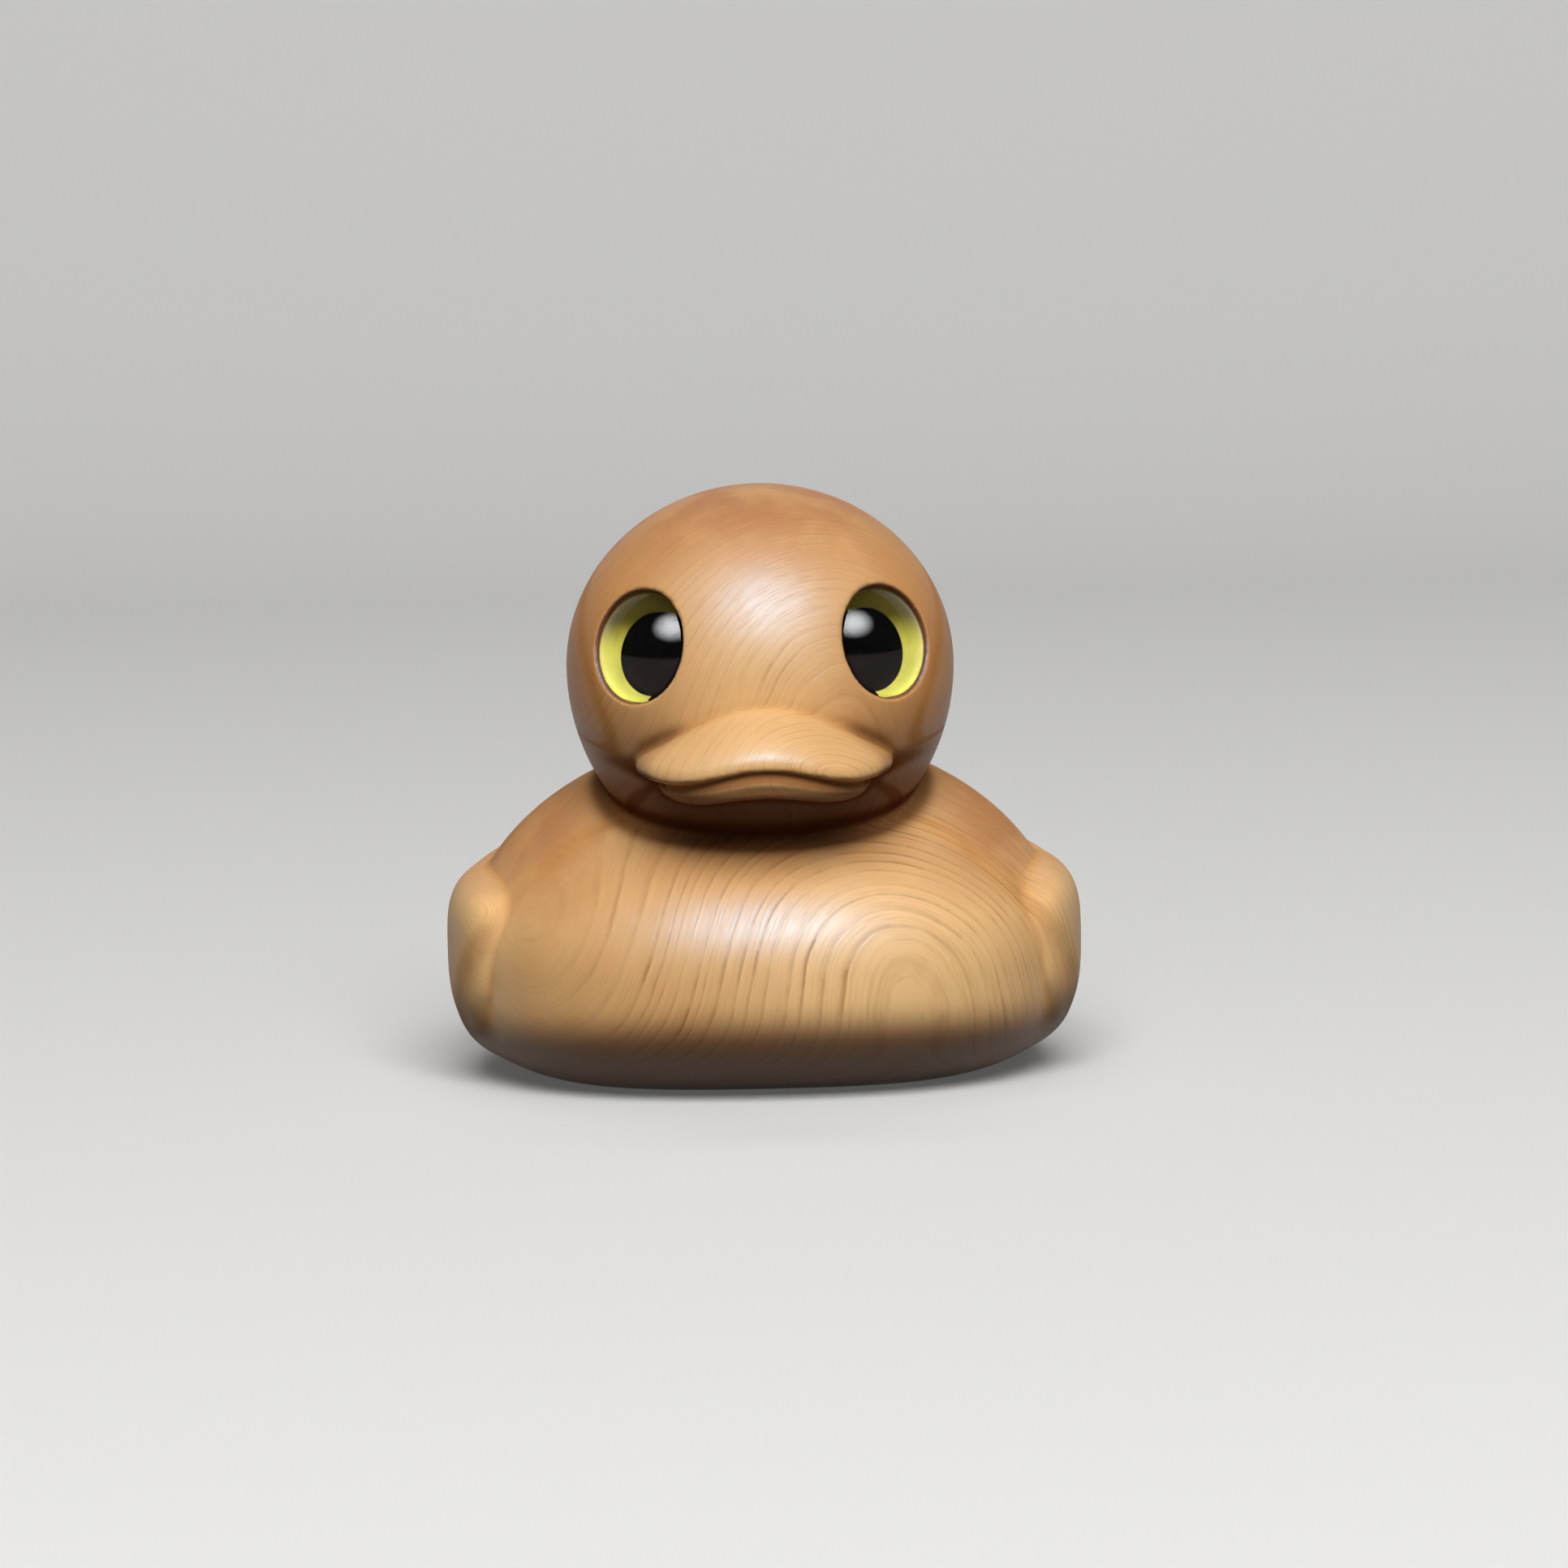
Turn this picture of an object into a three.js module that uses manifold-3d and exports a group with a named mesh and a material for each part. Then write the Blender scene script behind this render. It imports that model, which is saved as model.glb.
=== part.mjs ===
// Wooden duck figurine: one carved block with two glass eyes set in bored sockets.
// Millimetres, +Z up. The duck faces -Y and stands on Z = 0, the origin in the middle of its flat foot.
import * as THREE from "three";
import { mergeVertices } from "three/addons/utils/BufferGeometryUtils.js";
import Module from "manifold-3d";

const wasm = await Module();
wasm.setup();

// Body, a squat bun cut flat underneath, raised into shoulders under the head and drawn out into a tail
const BODY_WIDTH = 45;
const BODY_FRONT = 21;
const BODY_BACK = 31;
const BODY_WAIST_Z = 8.7;
const BODY_CROWN = 12;
const BODY_KEEL = 9.6;
const BODY_PLAN_POWER = 2.2;
const BODY_CROWN_POWER = 2;
const BODY_BREAST_CROWN_POWER = 2.3;
const BODY_KEEL_POWER = 3.4;
const BODY_BREAST_KEEL_POWER = 2.5;
const SHOULDER_RISE = 4.5;
const SHOULDER_Y = 2;
const SHOULDER_FALL_FRONT = 9;
const SHOULDER_FALL_BACK = 12;
const TAIL_LIFT = 11;
const TAIL_NARROWING = 0.36;
const TAIL_THINNING = 0.45;

// Head
const HEAD_WIDTH = 28.5;
const HEAD_LENGTH = 28;
const HEAD_CROWN = 13.3;
const HEAD_CHIN = 15.2;
const HEAD_Z = 30.7;
const HEAD_FORWARD = 5;

// Bill, two lips with a thin mouth line between them
const BILL_WIDTH = 18.6;
const BILL_REACH = 18.3;
const BILL_ROOT = 9;
const BILL_DROP = 5.6;
const BILL_RIDGE = 5.1;
const BILL_RIDGE_POWER = 1.3;
const BILL_ROLL = 0.6;
const BILL_PLAN_POWER = 2.2;
const BILL_LIP = 0.75;
const BILL_WAVE = 1;
const BILL_WAVE_LENGTH = 14;
const LOWER_BILL_WIDTH = 15.2;
const LOWER_BILL_SHORTFALL = 0.6;
const LOWER_BILL_DROP = 1.2;
const LOWER_BILL_LIP = 1.4;
const LOWER_BILL_POWER = 4;
const LOWER_BILL_DEPTH = 1.9;

// Wings, raised pads that follow the flanks
const WING_PROUD = 1.1;
const WING_THICKNESS = 4.8;
const WING_FRONT = 15;
const WING_BACK = 16;
const WING_ABOVE = 5.4;
const WING_BELOW = 7.5;
const WING_PLAN_POWER = 5;
const WING_EDGE_POWER = 3;
const WING_STRETCH = 0.9;
const WING_Y = 4;
const WING_Z = 10.2;
const WING_SWEEP = 3;

// Eyes
const EYE_YAW = 41.5;
const EYE_PITCH = 11.7;
const LENS_DIAMETER = 8;
const LENS_DOME_RADIUS = 5.2;
const LENS_EDGE = 1.25;
const LENS_INSET = 0.95;
const EYE_GAP = 0.1;
const PAINT_THICKNESS = 0.4;
const PUPIL_DIAMETER = 5;
const PUPIL_LOOK = 63;
const IRIS_NARROWEST = 0.6;
const SOCKET_RELIEF = 0.3;

// Facets around and along the rounded forms
const FORM_AROUND = 48;
const FORM_RINGS = 26;
const SMALL_AROUND = 32;
const SMALL_RINGS = 18;
const EYE_AROUND = 32;
const DOME_STEPS = 7;

const WOOD_COLOUR = 0xd6a870;
const GLASS_COLOUR = 0xe8eef0;
const IRIS_COLOUR = 0xe6d24a;
const PUPIL_COLOUR = 0x0c0b0a;

const RAD = THREE.MathUtils.degToRad;

// Turns a geometry into a closed solid for joining and cutting.
function solid(geometry) {
  const bare = geometry.clone();
  bare.deleteAttribute("normal");
  bare.deleteAttribute("uv");
  const welded = mergeVertices(bare, 1e-5);
  return new wasm.Manifold(new wasm.Mesh({
    numProp: 3,
    vertProperties: new Float32Array(welded.attributes.position.array),
    triVerts: new Uint32Array(welded.index.array),
  }));
}

// Turns a joined or cut solid back into a geometry.
function geometryOf(shape) {
  const mesh = shape.getMesh();
  const geometry = new THREE.BufferGeometry();
  geometry.setAttribute("position", new THREE.BufferAttribute(new Float32Array(mesh.vertProperties), 3));
  geometry.setIndex(new THREE.BufferAttribute(new Uint32Array(mesh.triVerts), 1));
  geometry.computeVertexNormals();
  return geometry;
}

// Moves every vertex of a geometry by a rule that edits the point it is given.
function reshape(geometry, rule) {
  const points = geometry.attributes.position;
  const point = new THREE.Vector3();
  for (let i = 0; i < points.count; i += 1) {
    point.fromBufferAttribute(points, i);
    rule(point);
    points.setXYZ(i, point.x, point.y, point.z);
  }
  return geometry;
}

// A rounded form about its own centre: a ball pulled out to a different reach in front, behind, above and
// below. The powers square it off in plan and in upright section; 2 leaves it a plain ellipsoid. Those of
// the front, and of the underside along the length, give way to the others towards the sides.
function roundedForm({
  side, front, back, above, below,
  plan = 2, up = 2, down = 2, upFront = up, downAlong = down, fine = true,
}) {
  const around = fine ? FORM_AROUND : SMALL_AROUND;
  const rings = fine ? FORM_RINGS : SMALL_RINGS;
  const ball = new THREE.SphereGeometry(1, around, rings);
  ball.rotateX(Math.PI / 2);
  return reshape(ball, (p) => {
    const partX = Math.pow(Math.abs(p.x), plan);
    const partY = Math.pow(Math.abs(p.y), plan);
    const share = partX / Math.max(partX + partY, Number.EPSILON);
    const upAlong = p.y < 0 ? upFront : up;
    const power = p.z > 0
      ? THREE.MathUtils.lerp(upAlong, up, share)
      : THREE.MathUtils.lerp(downAlong, down, share);
    const level = Math.pow(partX + partY, 1 / plan);
    const grow = Math.pow(Math.pow(level, power) + Math.pow(Math.abs(p.z), power), -1 / power);
    p.multiplyScalar(grow);
    p.x *= side;
    p.y *= p.y < 0 ? front : back;
    p.z *= p.z > 0 ? above : below;
  });
}

// Lowers a bill lip towards its sides and lifts it again at the corners of the mouth.
function waveLip(geometry) {
  return reshape(geometry, (p) => {
    p.z -= (BILL_WAVE * (1 - Math.cos((2 * Math.PI * p.x) / BILL_WAVE_LENGTH))) / 2;
  });
}

// Rounds the edge of the upper lip: heights above the lip are stretched so that they start off steeply.
function rollLip(geometry) {
  return reshape(geometry, (p) => {
    if (p.z > 0) {
      p.z = Math.sqrt((p.z + BILL_ROLL) ** 2 - BILL_ROLL ** 2);
    }
  });
}

const headCentre = new THREE.Vector3(0, -HEAD_FORWARD, HEAD_Z);
const headHalf = new THREE.Vector3(HEAD_WIDTH / 2, HEAD_LENGTH / 2, HEAD_CROWN);

// How far along the back a point lies: 0 from the breast to the middle, 1 at the end of the tail.
function tailward(y) {
  return Math.min(1, Math.max(0, y / BODY_BACK));
}

function flankNarrowing(y) {
  return 1 - TAIL_NARROWING * tailward(y) ** 2;
}

// Half width of the body in plan at the level of its waist.
function flank(y) {
  const along = Math.min(1, Math.abs(y) / (y < 0 ? BODY_FRONT : BODY_BACK));
  const across = Math.pow(1 - Math.pow(along, BODY_PLAN_POWER), 1 / BODY_PLAN_POWER);
  return (BODY_WIDTH / 2) * across * flankNarrowing(y);
}

// The bun first, then its crown raised by a bell curve along its length and its back drawn up into the tail.
function body() {
  const bun = roundedForm({
    side: BODY_WIDTH / 2,
    front: BODY_FRONT,
    back: BODY_BACK,
    above: BODY_CROWN,
    below: BODY_KEEL,
    plan: BODY_PLAN_POWER,
    up: BODY_CROWN_POWER,
    upFront: BODY_BREAST_CROWN_POWER,
    down: BODY_KEEL_POWER,
    downAlong: BODY_BREAST_KEEL_POWER,
  });
  reshape(bun, (p) => {
    const t = tailward(p.y);
    const offset = p.y - SHOULDER_Y;
    const fall = offset < 0 ? SHOULDER_FALL_FRONT : SHOULDER_FALL_BACK;
    const bell = Math.exp(-((offset / fall) ** 2));
    if (p.z > 0) {
      p.z *= 1 + (SHOULDER_RISE / BODY_CROWN) * bell;
    }
    p.x *= flankNarrowing(p.y);
    p.z = p.z * (1 - TAIL_THINNING * t ** 2) + TAIL_LIFT * t ** 3;
  });
  return bun.translate(0, 0, BODY_WAIST_Z);
}

function head() {
  return roundedForm({
    side: headHalf.x,
    front: headHalf.y,
    back: headHalf.y,
    above: HEAD_CROWN,
    below: HEAD_CHIN,
  }).translate(headCentre.x, headCentre.y, headCentre.z);
}

// One wing pad, bent to the plan of the flank, a little flatter than it in front.
function wing(sign) {
  const pad = roundedForm({
    side: WING_THICKNESS,
    front: WING_FRONT,
    back: WING_BACK,
    above: WING_ABOVE,
    below: WING_BELOW,
    plan: WING_PLAN_POWER,
    up: WING_EDGE_POWER,
    down: WING_EDGE_POWER,
    fine: false,
  });
  return reshape(pad, (p) => {
    const swept = Math.max(0, p.y) / WING_BACK;
    const y = p.y + WING_Y;
    const guide = flank(y < 0 ? WING_STRETCH * y : y);
    p.x += sign * (guide + WING_PROUD - WING_THICKNESS);
    p.y = y;
    p.z += WING_Z + WING_SWEEP * swept ** 2;
  });
}

function billForms() {
  const rootY = headCentre.y - BILL_ROOT;
  const lipZ = headCentre.z - BILL_DROP;
  const wedge = roundedForm({
    side: BILL_WIDTH / 2,
    front: BILL_REACH - BILL_ROOT,
    back: BILL_ROOT / 2,
    above: BILL_RIDGE,
    below: BILL_LIP,
    plan: BILL_PLAN_POWER,
    up: BILL_RIDGE_POWER,
    fine: false,
  });
  const upper = waveLip(rollLip(wedge)).translate(0, rootY, lipZ);
  const lowerZ = lipZ - LOWER_BILL_DROP;
  const lower = waveLip(roundedForm({
    side: LOWER_BILL_WIDTH / 2,
    front: BILL_REACH - BILL_ROOT - LOWER_BILL_SHORTFALL,
    back: BILL_ROOT / 2,
    above: LOWER_BILL_LIP,
    below: LOWER_BILL_DEPTH,
    plan: BILL_PLAN_POWER,
    up: LOWER_BILL_POWER,
    fine: false,
  })).translate(0, rootY, lowerZ);
  return [upper, lower];
}

// The way an eye looks.
function eyeAxis(sign) {
  return new THREE.Vector3(
    sign * Math.sin(RAD(EYE_YAW)) * Math.cos(RAD(EYE_PITCH)),
    -Math.cos(RAD(EYE_YAW)) * Math.cos(RAD(EYE_PITCH)),
    Math.sin(RAD(EYE_PITCH)),
  );
}

// The place and direction of an eye: the point of the head whose surface looks along its axis.
function eyeSeat(sign) {
  const axis = eyeAxis(sign);
  const reach = new THREE.Vector3().multiplyVectors(axis, headHalf).length();
  const point = new THREE.Vector3().multiplyVectors(axis, headHalf).multiply(headHalf);
  point.divideScalar(reach).add(headCentre);
  const turn = new THREE.Quaternion().setFromUnitVectors(new THREE.Vector3(0, 1, 0), axis);
  return new THREE.Matrix4().compose(point, turn, new THREE.Vector3(1, 1, 1));
}

// Levels along the eye axis, measured outwards from the uncut surface of the head.
const lensRadius = LENS_DIAMETER / 2;
const socketRadius = lensRadius + EYE_GAP;
const domeHeight = LENS_DOME_RADIUS - Math.sqrt(LENS_DOME_RADIUS ** 2 - lensRadius ** 2);
const lensBack = -LENS_INSET - LENS_EDGE;
const paintFront = lensBack - EYE_GAP;
const paintBack = paintFront - PAINT_THICKNESS;
const socketFloor = paintBack - SOCKET_RELIEF;

// The bore runs out past the head far enough to clear the crown of the dome.
function socket(sign) {
  const top = domeHeight + LENS_INSET + LENS_DIAMETER;
  const bore = new THREE.CylinderGeometry(socketRadius, socketRadius, top - socketFloor, EYE_AROUND);
  bore.translate(0, (top + socketFloor) / 2, 0);
  return bore.applyMatrix4(eyeSeat(sign));
}

// Glass dome with a short straight edge and a flat back, turned about the eye axis.
function lens(sign) {
  const profile = [new THREE.Vector2(0, lensBack), new THREE.Vector2(lensRadius, lensBack)];
  const edgeAngle = Math.asin(lensRadius / LENS_DOME_RADIUS);
  const domeCentre = -LENS_INSET + domeHeight - LENS_DOME_RADIUS;
  for (let step = 0; step < DOME_STEPS; step += 1) {
    const angle = edgeAngle * (1 - step / DOME_STEPS);
    profile.push(new THREE.Vector2(
      LENS_DOME_RADIUS * Math.sin(angle),
      domeCentre + LENS_DOME_RADIUS * Math.cos(angle),
    ));
  }
  profile.push(new THREE.Vector2(0, domeCentre + LENS_DOME_RADIUS));
  return new THREE.LatheGeometry(profile, EYE_AROUND).applyMatrix4(eyeSeat(sign));
}

// The pupil sits off the middle of the iris by as much as leaves the ring its narrowest width.
const pupilShift = Math.max(0, lensRadius - PUPIL_DIAMETER / 2 - EYE_GAP - IRIS_NARROWEST);

// A disc at the level of the paint, its middle shifted square to the eye axis. The look of the pupil is
// the angle of the shift from straight down round towards the bill.
function paintDisc(sign, radius, thickness, shift) {
  const axis = eyeAxis(sign);
  const up = new THREE.Vector3(0, 0, 1);
  const look = RAD(PUPIL_LOOK);
  const inward = new THREE.Vector3().crossVectors(axis, up).setLength(sign * shift * Math.sin(look));
  const down = up.projectOnPlane(axis).setLength(-shift * Math.cos(look));
  const move = inward.add(down);
  const disc = new THREE.CylinderGeometry(radius, radius, thickness, EYE_AROUND);
  disc.translate(0, (paintFront + paintBack) / 2, 0);
  return disc.applyMatrix4(eyeSeat(sign)).translate(move.x, move.y, move.z);
}

// Painted ring behind the glass, open for the pupil, which looks a little down and towards the bill.
function iris(sign) {
  const disc = solid(paintDisc(sign, lensRadius, PAINT_THICKNESS, 0));
  const hole = paintDisc(sign, PUPIL_DIAMETER / 2 + EYE_GAP, 2 * PAINT_THICKNESS, pupilShift);
  return geometryOf(disc.subtract(solid(hole)));
}

function pupil(sign) {
  return paintDisc(sign, PUPIL_DIAMETER / 2, PAINT_THICKNESS, pupilShift);
}

// The whole carving: all forms joined, the sockets bored and the foot sawn flat.
function duckBody() {
  const forms = [body(), head(), wing(1), wing(-1), ...billForms()];
  let block = solid(forms[0]);
  for (const form of forms.slice(1)) {
    block = block.add(solid(form));
  }
  for (const sign of [1, -1]) {
    block = block.subtract(solid(socket(sign)));
  }
  const reach = 4 * (BODY_WIDTH + BODY_FRONT + BODY_BACK);
  const saw = new THREE.BoxGeometry(reach, reach, reach).translate(0, 0, -reach / 2);
  return geometryOf(block.subtract(solid(saw)));
}

const woodFinish = { color: WOOD_COLOUR, roughness: 0.45, metalness: 0 };
const glassFinish = { color: GLASS_COLOUR, roughness: 0.03, metalness: 0, transparent: true, opacity: 0.3 };
const irisFinish = { color: IRIS_COLOUR, roughness: 0.4, metalness: 0 };
const pupilFinish = { color: PUPIL_COLOUR, roughness: 0.3, metalness: 0 };

function piece(name, geometry, finish) {
  const mesh = new THREE.Mesh(geometry, new THREE.MeshStandardMaterial(finish));
  mesh.name = name;
  return mesh;
}

const duck = new THREE.Group();
duck.name = "wooden_duck";
duck.add(piece("duck_body", duckBody(), woodFinish));
for (const [side, sign] of [["left", 1], ["right", -1]]) {
  duck.add(piece(`${side}_eye_lens`, lens(sign), glassFinish));
  duck.add(piece(`${side}_eye_iris`, iris(sign), irisFinish));
  duck.add(piece(`${side}_eye_pupil`, pupil(sign), pupilFinish));
}

export default duck;
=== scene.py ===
"""Wooden duck figurine: a carved block of warm tan wood with domed glass eyes, on a plain pale floor."""

import math
from types import SimpleNamespace

import bpy
import numpy as np
from bpy.props import FloatProperty, FloatVectorProperty, PointerProperty
from bpy.types import Operator, Panel, PropertyGroup
from mathutils import Matrix, Vector


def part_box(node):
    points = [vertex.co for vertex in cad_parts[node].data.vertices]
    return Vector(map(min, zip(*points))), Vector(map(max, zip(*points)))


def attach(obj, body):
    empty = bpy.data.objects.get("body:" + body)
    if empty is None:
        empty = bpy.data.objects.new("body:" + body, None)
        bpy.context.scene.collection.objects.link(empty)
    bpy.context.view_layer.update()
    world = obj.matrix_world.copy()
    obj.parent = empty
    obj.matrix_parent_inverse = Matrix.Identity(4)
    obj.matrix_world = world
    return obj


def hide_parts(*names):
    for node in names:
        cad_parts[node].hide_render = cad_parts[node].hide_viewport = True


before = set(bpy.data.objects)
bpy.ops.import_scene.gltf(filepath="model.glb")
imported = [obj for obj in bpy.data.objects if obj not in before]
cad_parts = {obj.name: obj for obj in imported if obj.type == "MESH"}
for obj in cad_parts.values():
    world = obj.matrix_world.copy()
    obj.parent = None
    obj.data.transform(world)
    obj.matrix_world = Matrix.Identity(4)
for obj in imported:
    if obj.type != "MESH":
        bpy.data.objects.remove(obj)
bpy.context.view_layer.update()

bl_info = {
    "name": "Wooden Duck",
    "version": (1, 0, 0),
    "blender": (4, 5, 0),
    "location": "View3D > Sidebar > Duck",
    "description": "Carves a small wooden duck, sets its glass eyes and lights it",
    "category": "Mesh",
}

SIDES = {"left": 1.0, "right": -1.0}


def length(name, description, default):
    """A size in metres."""
    return FloatProperty(name=name, description=description, default=default, unit="LENGTH", precision=5)


def location(name, description, default):
    """A place in metres."""
    return FloatVectorProperty(
        name=name, description=description, default=default, size=3, subtype="XYZ", unit="LENGTH"
    )


def ratio(name, description, default):
    """A plain number."""
    return FloatProperty(name=name, description=description, default=default, precision=3)


def angle(name, description, degrees):
    """An angle, given in degrees and kept in radians."""
    return FloatProperty(
        name=name, description=description, default=math.radians(degrees), unit="ROTATION"
    )


def colour(name, description, default):
    """A linear colour."""
    return FloatVectorProperty(
        name=name, description=description, default=default, size=3, subtype="COLOR", min=0.0, max=1.0
    )


class DuckCarving(PropertyGroup):
    """Sizes of the carved block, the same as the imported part's."""

    cell: length("Cell", "Spacing of the lattice the carving is drawn from, at the bill and eyes", 0.000252)
    body_width: length("Body width", "Across the body without the wings", 0.045)
    body_front: length("Breast", "From the middle to the front of the breast", 0.021)
    body_back: length("Back", "From the middle to the end of the tail", 0.031)
    waist: length("Waist", "Height of the widest level", 0.0087)
    crown: length("Crown", "Rise of the back above the waist", 0.012)
    keel: length("Keel", "Depth of the uncut belly below the waist", 0.0096)
    plan_power: ratio("Plan power", "Squareness of the body seen from above", 2.2)
    keel_power: ratio("Keel power", "Squareness of the belly at its sides", 3.4)
    breast_power: ratio("Breast power", "Squareness of the belly at its front and back", 2.5)
    bosom_power: ratio("Bosom power", "Fullness of the breast above the waist", 2.3)
    shoulder_rise: length("Shoulder rise", "Extra height under the head", 0.0045)
    shoulder_y: length("Shoulder place", "Where the shoulders are highest", 0.002)
    fall_front: length("Front fall", "How quickly the shoulders fall forwards", 0.009)
    fall_back: length("Back fall", "How quickly the shoulders fall backwards", 0.012)
    tail_lift: length("Tail lift", "How far the tail turns up", 0.011)
    tail_narrowing: ratio("Tail narrowing", "Loss of width at the tail", 0.36)
    tail_thinning: ratio("Tail thinning", "Loss of thickness at the tail", 0.45)
    head_width: length("Head width", "Across the head", 0.0285)
    head_length: length("Head length", "Front to back of the head", 0.028)
    head_crown: length("Head crown", "From the middle of the head to its top", 0.0133)
    head_chin: length("Head chin", "From the middle of the head to its underside", 0.0152)
    head_z: length("Head height", "Height of the middle of the head", 0.0307)
    head_forward: length("Head forward", "How far the head leans over the breast", 0.005)
    bill_width: length("Bill width", "Across the corners of the bill", 0.0186)
    bill_reach: length("Bill reach", "From the middle of the head to the tip of the bill", 0.0183)
    bill_root: length("Bill root", "From the middle of the head to the corners of the bill", 0.009)
    bill_drop: length("Bill drop", "From the middle of the head down to the lip", 0.0056)
    bill_ridge: length("Bill ridge", "Rise of the uncut bill above its lip", 0.0051)
    bill_power: ratio("Bill power", "Roundness of the bill above its lip; one is a plain wedge", 1.3)
    bill_roll: length("Bill roll", "Rounding of the upper lip over its edge", 0.0006)
    lip_roll: length("Lip roll", "Rounding of the upper lip under its edge", 0.00035)
    bill_lip: length("Bill lip", "Thickness of the lip below its edge", 0.00075)
    bill_wave: length("Bill wave", "How far the lip droops at its sides", 0.001)
    bill_wave_length: length("Bill wave length", "Distance between the two droops of the lip", 0.014)
    lower_width: length("Lower bill width", "Across the lower bill", 0.0152)
    lower_shortfall: length("Lower bill shortfall", "How far the lower bill stays behind", 0.0006)
    lower_drop: length("Lower bill drop", "From the edge of the upper lip down to that of the lower", 0.0012)
    lower_lip: length("Lower lip", "Rise of the lower lip above its edge", 0.0014)
    lower_power: ratio("Lower lip power", "Fullness of the lower lip above its edge", 4.0)
    lower_depth: length("Lower bill depth", "Depth of the lower bill", 0.0019)
    wing_proud: length("Wing proud", "How far the wing stands off the flank", 0.0011)
    wing_thickness: length("Wing thickness", "Half thickness of the buried wing pad", 0.0048)
    wing_front: length("Wing front", "Reach of the wing pad forwards", 0.015)
    wing_back: length("Wing back", "Reach of the wing pad backwards", 0.016)
    wing_above: length("Wing above", "Rise of the wing above its middle", 0.0054)
    wing_below: length("Wing below", "Depth of the wing below its middle", 0.0075)
    wing_stretch: ratio("Wing stretch", "How much flatter than the flank the front of the wing runs", 0.9)
    wing_y: length("Wing place", "Middle of the wing along the body", 0.004)
    wing_z: length("Wing level", "Height of the middle of the wing", 0.0102)
    wing_sweep: length("Wing sweep", "How far the wing tip lifts", 0.003)
    neck_soft: length("Neck fillet", "Softness of the crease round the neck", 0.0011)
    wing_soft: length("Wing fillet", "Softness of the crease round the wings", 0.00025)
    wing_melt: length("Wing melt", "Softness where the wing melts into the belly", 0.0022)
    bill_soft: length("Bill fillet", "Softness of the crease between bill and face", 0.00025)
    mouth_soft: length("Mouth fillet", "Softness of the groove between the lips", 0.0003)
    rim_soft: length("Rim fillet", "Rounding of the socket rims and the foot", 0.0003)


class DuckEyes(PropertyGroup):
    """Sizes and colours of the glass eyes."""

    yaw: angle("Yaw", "How far each eye looks sideways", 41.5)
    pitch: angle("Pitch", "How far each eye looks up", 11.7)
    lens_diameter: length("Lens diameter", "Across the glass", 0.008)
    dome_radius: length("Dome radius", "Radius of the glass dome", 0.0052)
    lens_edge: length("Lens edge", "Straight edge of the glass", 0.00125)
    lens_inset: length("Lens inset", "From the uncut head down to the edge of the dome", 0.00095)
    gap: length("Gap", "Clearance round and behind the glass", 0.0001)
    paint: length("Enamel", "Thickness of the enamel behind the glass", 0.0004)
    relief: length("Socket relief", "Room behind the enamel", 0.0003)
    pupil_diameter: length("Pupil diameter", "Across the black pupil", 0.005)
    pupil_look: angle("Pupil look", "Way the pupil is shifted, from straight down towards the bill", 63.0)
    iris_narrowest: length("Iris narrowest", "Least width of the iris, beside the shifted pupil", 0.0006)
    iris_colour: colour("Iris", "Yellow of the iris", (0.72, 0.575, 0.08))
    iris_shade: colour("Iris shade", "Amber of the iris fibres", (0.54, 0.38, 0.04))
    # Dark olive of the limbal line at the rim, and painted shadow of the socket rim over the top of the
    # iris.
    iris_limbus_and_shadow: colour("Iris brow", "Dark olive under the brow", (0.05, 0.03, 0.005))
    pupil_colour: colour("Pupil", "Black of the pupil", (0.002, 0.002, 0.002))


class DuckWood(PropertyGroup):
    """Colours and scale of the wood, and the colour of its painted shade."""

    pale: colour("Pale wood", "Wood between the rings", (0.79, 0.445, 0.178))
    warm: colour("Warm wood", "Deeper patches", (0.69, 0.345, 0.118))
    # Paler wood at the heart of the rings and after each ring line; on the breast, the wings and the bill it
    # is partly painted light.
    bright: colour("Bright wood", "Sapwood at the breast and wings", (0.97, 0.60, 0.265))
    ring: colour("Ring lines", "Late wood of each ring", (0.41, 0.19, 0.047))
    orange: colour("Orange wood", "Heartwood at the sides of the head", (0.68, 0.30, 0.085))
    # Reddish wood at the crown and shoulders; at the creases and in the mouth groove the same colour is
    # painted shade.
    blush_and_crease_shade: colour("Blush", "Reddish wood at the crown, shoulders and creases", (0.48, 0.18, 0.055))
    # Painted shade: the dark brown mixed in under the chin and belly, in the hollows and on the socket
    # walls.
    painted_shade_colour: colour("Stain", "Oil gathered in the hollows", (0.11, 0.028, 0.009))
    rings_per_cm: ratio("Rings", "Growth rings to the centimetre of ring depth", 12.0)
    ring_strength: ratio("Ring strength", "How strongly the rings show", 0.85)
    seed: ratio("Seed", "Which years are the dark ones", 3.0)
    heart: location("Heart", "Where the heart of the rings comes to the surface", (0.010, -0.018, 0.009))


class DuckStage(PropertyGroup):
    """Camera, floor and lamps."""

    azimuth: angle("Azimuth", "How far the view comes from the side", -1.2)
    elevation: angle("Elevation", "How far the view comes from above", 6.5)
    roll: angle("Roll", "Tilt of the picture", 1.1)
    distance: length("Distance", "From the camera to the duck", 0.55)
    view_width: length("View width", "Width of the picture at the duck", 0.11674)
    aim_x: length("Aim across", "Middle of the picture, across", 0.0017)
    aim_z: length("Aim height", "Middle of the picture, upwards", 0.0212)
    floor: colour("Floor", "Pale floor and backdrop", (0.72, 0.711, 0.697))


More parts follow.
